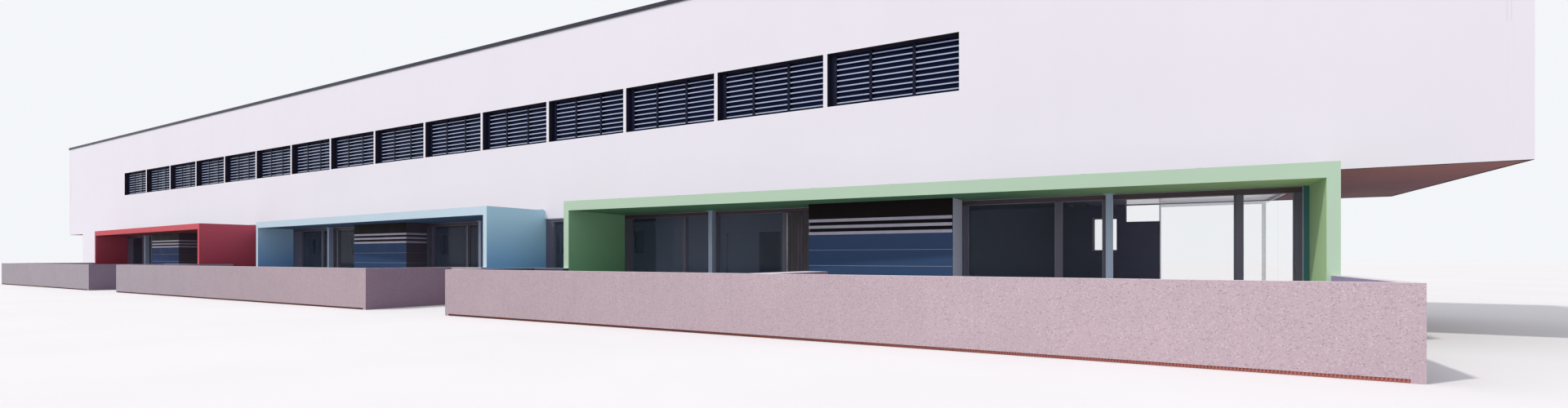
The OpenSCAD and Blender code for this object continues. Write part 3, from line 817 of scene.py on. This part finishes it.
def make_stop_beads():
    """Stop beads of the render beside the end walls."""
    bm = bmesh.new()
    for x in (-HALF + WALL_T, HALF - WALL_T):
        for dx in (-0.015, 0.012):
            bar(bm, (x + dx, FACE_Y - 0.0008, SOFFIT + 0.18), (x + dx + 0.003, FACE_Y + 0.002, BELOW_COPING))
    put(bm, "stop_beads", MATS["white_render"])


def make_blade_clips():
    """Clips that hold the blades to the mullions, one at each side."""
    clip_w = 0.005
    clip_h = 0.014
    bm = bmesh.new()
    for y, s in ((FACE_Y + LOUVRE_SET, 1), (BACK_Y - LOUVRE_SET, -1)):
        y0, y1 = inward(y, s, 0.003, 0.012)
        for x0, x1 in band_bays():
            third = (x1 - x0) / 3
            for x in (x0 + third, x0 + 2 * third):
                for k in range(BLADE_COUNT):
                    z = SILL_Z + BLADE_FIRST + k * BLADE_PITCH + 0.003
                    for dx in (-0.0225, 0.0175):
                        bar(bm, (x + dx, y0, z), (x + dx + clip_w, y1, z + clip_h))
    put(bm, "blade_clips", MATS["coping_metal"])


def make_roof():
    """Laps of the roof covering, an upstand at the parapet and outlets with gratings."""
    lap_half = 0.025
    lap_count = 30
    upstand_t = 0.02
    upstand_h = 0.08
    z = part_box("roof_slab")[1][2]
    x0 = -HALF + WALL_T
    x1 = HALF - WALL_T
    y0 = INNER_FACE_Y
    y1 = INNER_BACK_Y
    bm = bmesh.new()
    for i in range(1, lap_count):
        x = x0 + i * (x1 - x0) / lap_count
        bar(bm, (x - lap_half, y0, z), (x + lap_half, y1, z + 0.003))
    for y in (y0, y1 - upstand_t):
        bar(bm, (x0, y, z), (x1, y + upstand_t, z + upstand_h))
    for x in (x0, x1 - upstand_t):
        bar(bm, (x, y0 + upstand_t, z), (x + upstand_t, y1 - upstand_t, z + upstand_h))
    put(bm, "roof_laps", MATS["roof_concrete"], bevel=0.0015)
    bm = bmesh.new()
    for x in (-13.3, -4.5, 4.5, 13.3):
        for y in (y0 + 0.35, y1 - 0.35):
            outlet(bm, x, y, z)
    put(bm, "roof_outlets", STEEL)


def outlet(bm, x, y, z):
    """A flange, a cap and a cage of bent bars."""
    bars = 12
    disc(bm, (x, y, z + 0.003), (0, 0, 1), 0.075, 0.008, 28, 0.92)
    disc(bm, (x, y, z + 0.010), (0, 0, 1), 0.035, 0.03, 20, 0.7)
    for k in range(bars):
        a = 2 * math.pi * k / bars
        tube(bm, [(x + r * math.cos(a), y + r * math.sin(a), z + rise)
                  for r, rise in ((0.068, 0.010), (0.052, 0.030), (0.03, 0.036))], 0.004, 6)


# Details of the ground floor
def make_beads():
    """Beads round the sheets of glass, of rubber in the band."""
    for name in ("green_glass", "blue_glass", "red_glass", "screen_glass", "band_glass"):
        bm = bmesh.new()
        for lo, hi in islands(name):
            bead_ring(bm, lo, hi)
        mat = RUBBER if name == "band_glass" else BEAD
        put(bm, name.replace("glass", "beads"), mat, bevel=0.002)


def make_core_trims():
    """Pale trims in the joints of the boards, and screws along the rails."""
    trim_h = 0.004
    trim_in = 0.005
    out = 0.0005
    back = FACE_Y + 0.015
    screw_edge = 0.06
    screw_gaps = 6
    trims = bmesh.new()
    screws = bmesh.new()
    y0 = CORE_FRONT_Y
    for k, cx in enumerate(CORE_X):
        x0 = cx - CORE_HALF
        x1 = cx + CORE_HALF
        # the right side of the first core is plain
        right = x1 - 0.008 if k == 0 else x1 + out
        for j in range(1, BOARD_COUNT):
            z = RAIL_ZONE_Z - j * BOARD_H + 0.001
            bar(trims, (x0 - out, y0 - out, z), (right, y0 + trim_in, z + trim_h))
            bar(trims, (x0 - out, y0 + trim_in, z), (x0 + trim_in, back, z + trim_h))
            if k:
                bar(trims, (x1 - trim_in, y0 + trim_in, z), (x1 + out, back, z + trim_h))
        for j in range(RAIL_COUNT):
            z = RAIL_ZONE_Z + j * RAIL_PITCH + 0.018
            for i in range(screw_gaps + 1):
                x = x0 + screw_edge + i * 2 * (CORE_HALF - screw_edge) / screw_gaps
                disc(screws, (x, y0, z), (0, -1, 0), 0.006, 0.003)
    put(trims, "board_trims", TRIM, bevel=0.0006)
    put(screws, "rail_screws", STEEL)


def make_plinth_ribs():
    """The strip at the foot of the low walls is ribbed upright."""
    pitch = 0.020
    rib_half = 0.005
    bm = bmesh.new()
    for lo, hi in islands("patio_plinths"):
        n = int((hi.x - lo.x) / pitch)
        step = (hi.x - lo.x) / n
        for i in range(n):
            x = lo.x + (i + 0.5) * step
            bar(bm, (x - rib_half, lo.y - 0.006, 0.001), (x + rib_half, lo.y, hi.z - 0.001))
    put(bm, "plinth_ribs", MATS["plinth_strip"])


def make_post_plates():
    """Foot and head plates of the steel posts with their bolts."""
    out = 0.025
    thick = 0.008
    bm = bmesh.new()
    bolts = bmesh.new()
    for lo, hi in islands("steel_posts"):
        for z0, z1, s in ((lo.z, lo.z + thick, 1), (hi.z - thick, hi.z, -1)):
            bar(bm, (lo.x - out, lo.y - out, z0), (hi.x + out, hi.y, z1))
            for x in (lo.x - 0.013, hi.x + 0.013):
                for y in (lo.y - 0.012, hi.y - 0.02):
                    disc(bolts, (x, y, z1 if s > 0 else z0), (0, 0, s), 0.007, 0.006, 6, 0.9)
    put(bm, "post_plates", MATS["post_steel"], bevel=0.0012)
    put(bolts, "post_bolts", STEEL)


def leaf_boards(x0, x1):
    """Joints of the upright boards on the panel of a leaf, and its kick plate."""
    boards = 9
    joint_half = 0.002
    proud_y = LEAF_Y + 0.0085
    kick = 0.06
    bm = bmesh.new()
    for i in range(1, boards):
        x = x0 + LEAF_BAR + i * (x1 - x0 - 2 * LEAF_BAR) / boards
        bar(bm, (x - joint_half, LEAF_Y + 0.006, LEAF_BOTTOM + LEAF_BAR),
            (x + joint_half, proud_y, LEAF_TOP - LEAF_BAR))
    bar(bm, (x0 + kick, LEAF_Y + 0.004, LEAF_BOTTOM + kick), (x1 - kick, proud_y, LEAF_BOTTOM + 0.16))
    return bm


def leaf_iron(x0, x1):
    """Pale edge of a leaf, its lock plate with a cylinder, and a pull bar on two stays."""
    y0 = LEAF_Y
    bed = y0 + 0.0005
    x = x1 - 0.032
    bm = bmesh.new()
    bar(bm, (x0 + 0.001, y0 - 0.0012, LEAF_BOTTOM + 0.004), (x0 + 0.012, bed, LEAF_TOP - 0.004))
    bar(bm, (x - 0.014, y0 - 0.003, 0.45), (x + 0.014, bed, 0.59))
    disc(bm, (x, y0 - 0.003, 0.475), (0, -1, 0), 0.008, 0.004, 16)
    tube(bm, [(x, y0 - 0.018, 0.62), (x, y0 - 0.024, 0.64), (x, y0 - 0.024, 0.90), (x, y0 - 0.018, 0.92)],
         0.006)
    for z in (0.64, 0.90):
        tube(bm, [(x, bed, z), (x, y0 - 0.024, z)], 0.004)
    return bm


def threshold(bm, x0, x1):
    """A ribbed threshold under a leaf."""
    plate_top = FLOOR_TOP + 0.004
    bar(bm, (x0 - 0.008, LEAF_Y - 0.006, FLOOR_TOP), (x1 + 0.008, LEAF_Y + 0.066, plate_top))
    for k in range(4):
        y = LEAF_Y + 0.004 + k * 0.014
        bar(bm, (x0 - 0.006, y, plate_top), (x1 + 0.006, y + 0.004, plate_top + 0.0015))


def make_doors():
    """Boards and ironwork of each door, which swing with its leaf, and a threshold under it."""
    sills = bmesh.new()
    for prefix in BOXES:
        lo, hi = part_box(prefix + "_door")
        body = prefix + "_leaf"
        put(leaf_boards(lo[0], hi[0]), prefix + "_door_boards", LEAF, body, 0.0008)
        put(leaf_iron(lo[0], hi[0]), prefix + "_door_iron", STEEL, body, 0.0006)
        threshold(sills, lo[0], hi[0])
    put(sills, "thresholds", STEEL, bevel=0.0005)


def make_heads():
    """Pale lines on the heads of the glazing, and the lintel strips over the passages."""
    bm = bmesh.new()
    for name in ("green_frames", "blue_frames", "red_frames", "door_heads"):
        for lo, hi in islands(name):
            bar(bm, (lo.x, lo.y - 0.002, hi.z - 0.008), (hi.x, lo.y + 0.001, hi.z - 0.003))
    for lo, hi in islands("screen_frames"):
        bar(bm, (lo.x, lo.y - 0.018, hi.z - 0.020), (hi.x, lo.y + 0.001, hi.z - 0.002))
        bar(bm, (lo.x, lo.y - 0.010, hi.z - 0.052), (hi.x, lo.y + 0.001, hi.z - 0.046))
    put(bm, "head_trims", TRIM, bevel=0.0006)


def make_corner_strips():
    """A coloured strip with a pale edge in the corner where the glazing of a box meets its right wall: the
    strip is painted shade of the wall, the edge painted daylight.
    """
    strip_w = 0.044
    edge_w = 0.009
    z0 = FLOOR_TOP + 0.002
    for prefix in BOXES:
        lo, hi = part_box(prefix + "_frames")
        x = hi[0] - strip_w
        y1 = lo[1] + 0.0005
        z1 = hi[2] - 0.001
        bm = bmesh.new()
        # painted shade: the strip stands in for the shaded back of the box's right wall
        bar(bm, (x, lo[1] - 0.004, z0), (hi[0] - 0.0005, y1, z1))
        put(bm, prefix + "_corner_strip", CORNER_PAINTED_SHADE[prefix], bevel=0.001)
        bm = bmesh.new()
        # painted daylight: the pale edge stands in for the daylight in the slit at the corner
        bar(bm, (x - edge_w, lo[1] - 0.006, z0), (x, y1, z1))
        put(bm, prefix + "_corner_edge", TRIM, bevel=0.001)


def front_edge(name):
    """The slanted front edge of a box's roof, as y for any x."""
    verts = nodes[name].data.vertices
    lo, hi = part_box(name)
    left = min(v.co.y for v in verts if abs(v.co.x - lo[0]) < 0.001)
    right = min(v.co.y for v in verts if abs(v.co.x - hi[0]) < 0.001)
    slope = (right - left) / (hi[0] - lo[0])
    return lambda x: left + slope * (x - lo[0])


def make_box_coverings():
    """Roof covering on each box, set in from its coloured edge, with laps and an upstand at the wall."""
    edge = 0.035
    thick = 0.003
    lap_half = 0.025
    lap_count = 9

    def layer(bm, front, xa, xb, z):
        corners = [(xa, front(xa) + edge), (xb, front(xb) + edge), (xb, FACE_Y), (xa, FACE_Y)]
        plate(bm, corners, z, z + thick)

    for prefix in BOXES:
        name = prefix + "_roof"
        lo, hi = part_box(name)
        front = front_edge(name)
        x0 = lo[0] + edge
        x1 = hi[0] - edge
        z = hi[2]
        bm = bmesh.new()
        layer(bm, front, x0, x1, z)
        for i in range(1, lap_count):
            x = x0 + i * (x1 - x0) / lap_count
            layer(bm, front, x - lap_half, x + lap_half, z + thick)
        bar(bm, (x0, FACE_Y - 0.012, z + thick), (x1, FACE_Y, z + 0.018))
        put(bm, prefix + "_covering", COVERING, bevel=0.001)


def make_window_sills():
    """Thin frames and sills of the high windows in the back wall."""
    w = 0.02
    y = BACK_Y
    high = [b for b in islands("screen_glass") if b[0].y > 2.0 and b[0].z < 1.2]
    bm = bmesh.new()
    for lo, hi in high:
        for x0, x1, z0, z1 in ((lo.x, hi.x, hi.z - w, hi.z), (lo.x, lo.x + w, lo.z, hi.z - w),
                               (hi.x - w, hi.x, lo.z, hi.z - w), (lo.x, hi.x, lo.z, lo.z + w)):
            bar(bm, (x0, y - 0.062, z0), (x1, y - 0.040, z1))
        bar(bm, (lo.x, y - 0.06, lo.z), (hi.x, y + 0.006, lo.z + 0.004))
        bar(bm, (lo.x, y + 0.002, lo.z - 0.012), (hi.x, y + 0.006, lo.z))
    put(bm, "high_window_trims", MATS["dark_frame"], bevel=0.001)


# Floor and light
def seen_rays(nt):
    """1 on rays from the camera, through glass or off gloss, 0 on the rays that light the object."""
    path = nt.nodes.new("ShaderNodeLightPath")
    seen = path.outputs["Is Camera Ray"]
    for other in ("Is Transmission Ray", "Is Glossy Ray"):
        m = nt.nodes.new("ShaderNodeMath")
        m.operation = 'MAXIMUM'
        nt.links.new(seen, m.inputs[0])
        nt.links.new(path.outputs[other], m.inputs[1])
        seen = m.outputs[0]
    return seen


def make_stage():
    r = 160
    z = -0.001
    mesh = bpy.data.meshes.new("floor")
    mesh.from_pydata([(-r, -r, z), (r, -r, z), (r, r, z), (-r, r, z)], [], [(0, 1, 2, 3)])
    floor = bpy.data.objects.new("floor", mesh)
    scene.collection.objects.link(floor)
    m = Nodes("floor")
    pale = m.ramp(m.noise(0.3), [(0.3, (0.86, 0.84, 0.84)), (0.7, (0.90, 0.88, 0.88))])
    m.colour(m.mix(seen_rays(m.nt), (0.60, 0.57, 0.60), pale))
    m.bsdf.inputs["Roughness"].default_value = 0.95
    mesh.materials.append(m.mat)


def make_sky():
    """Soft light, stronger from the front left and from above, before a pale backdrop."""
    world = bpy.data.worlds.new("studio")
    scene.world = world
    world.use_nodes = True
    nt = world.node_tree
    light = nt.nodes["Background"]
    light.inputs["Color"].default_value = (0.92, 0.94, 1.0, 1.0)
    coord = nt.nodes.new("ShaderNodeTexCoord")
    dot = nt.nodes.new("ShaderNodeVectorMath")
    dot.operation = 'DOT_PRODUCT'
    dot.inputs[1].default_value = (-0.62, -0.58, 0.53)
    nt.links.new(coord.outputs["Generated"], dot.inputs[0])
    fall = nt.nodes.new("ShaderNodeMapRange")
    for key, value in (("From Min", -0.6), ("From Max", 0.9), ("To Min", 0.22), ("To Max", 0.99)):
        fall.inputs[key].default_value = value
    nt.links.new(dot.outputs["Value"], fall.inputs["Value"])
    nt.links.new(fall.outputs["Result"], light.inputs["Strength"])
    backdrop = nt.nodes.new("ShaderNodeBackground")
    backdrop.inputs["Color"].default_value = (0.93, 0.95, 0.98, 1.0)
    backdrop.inputs["Strength"].default_value = 0.97
    mix = nt.nodes.new("ShaderNodeMixShader")
    nt.links.new(seen_rays(nt), mix.inputs["Fac"])
    nt.links.new(light.outputs[0], mix.inputs[1])
    nt.links.new(backdrop.outputs[0], mix.inputs[2])
    nt.links.new(mix.outputs[0], nt.nodes["World Output"].inputs["Surface"])


def make_sun():
    """A sun from the front left, high up."""
    sun = bpy.data.lights.new("key", 'SUN')
    sun.energy = 1.72
    sun.angle = math.radians(3.0)
    sun.color = (1.0, 0.975, 0.94)
    key = bpy.data.objects.new("key", sun)
    scene.collection.objects.link(key)
    key.rotation_euler = Vector((0.50, 0.62, -0.85)).to_track_quat('-Z', 'Y').to_euler()


make_camera()
coat_solids()
make_beads()
make_copings()
make_drip_profile()
make_band_sills()
make_stop_beads()
make_blade_clips()
make_core_trims()
make_plinth_ribs()
make_post_plates()
make_doors()
make_heads()
make_corner_strips()
make_box_coverings()
make_roof()
make_window_sills()
make_stage()
make_sky()
make_sun()

scene.view_settings.view_transform = 'Standard'
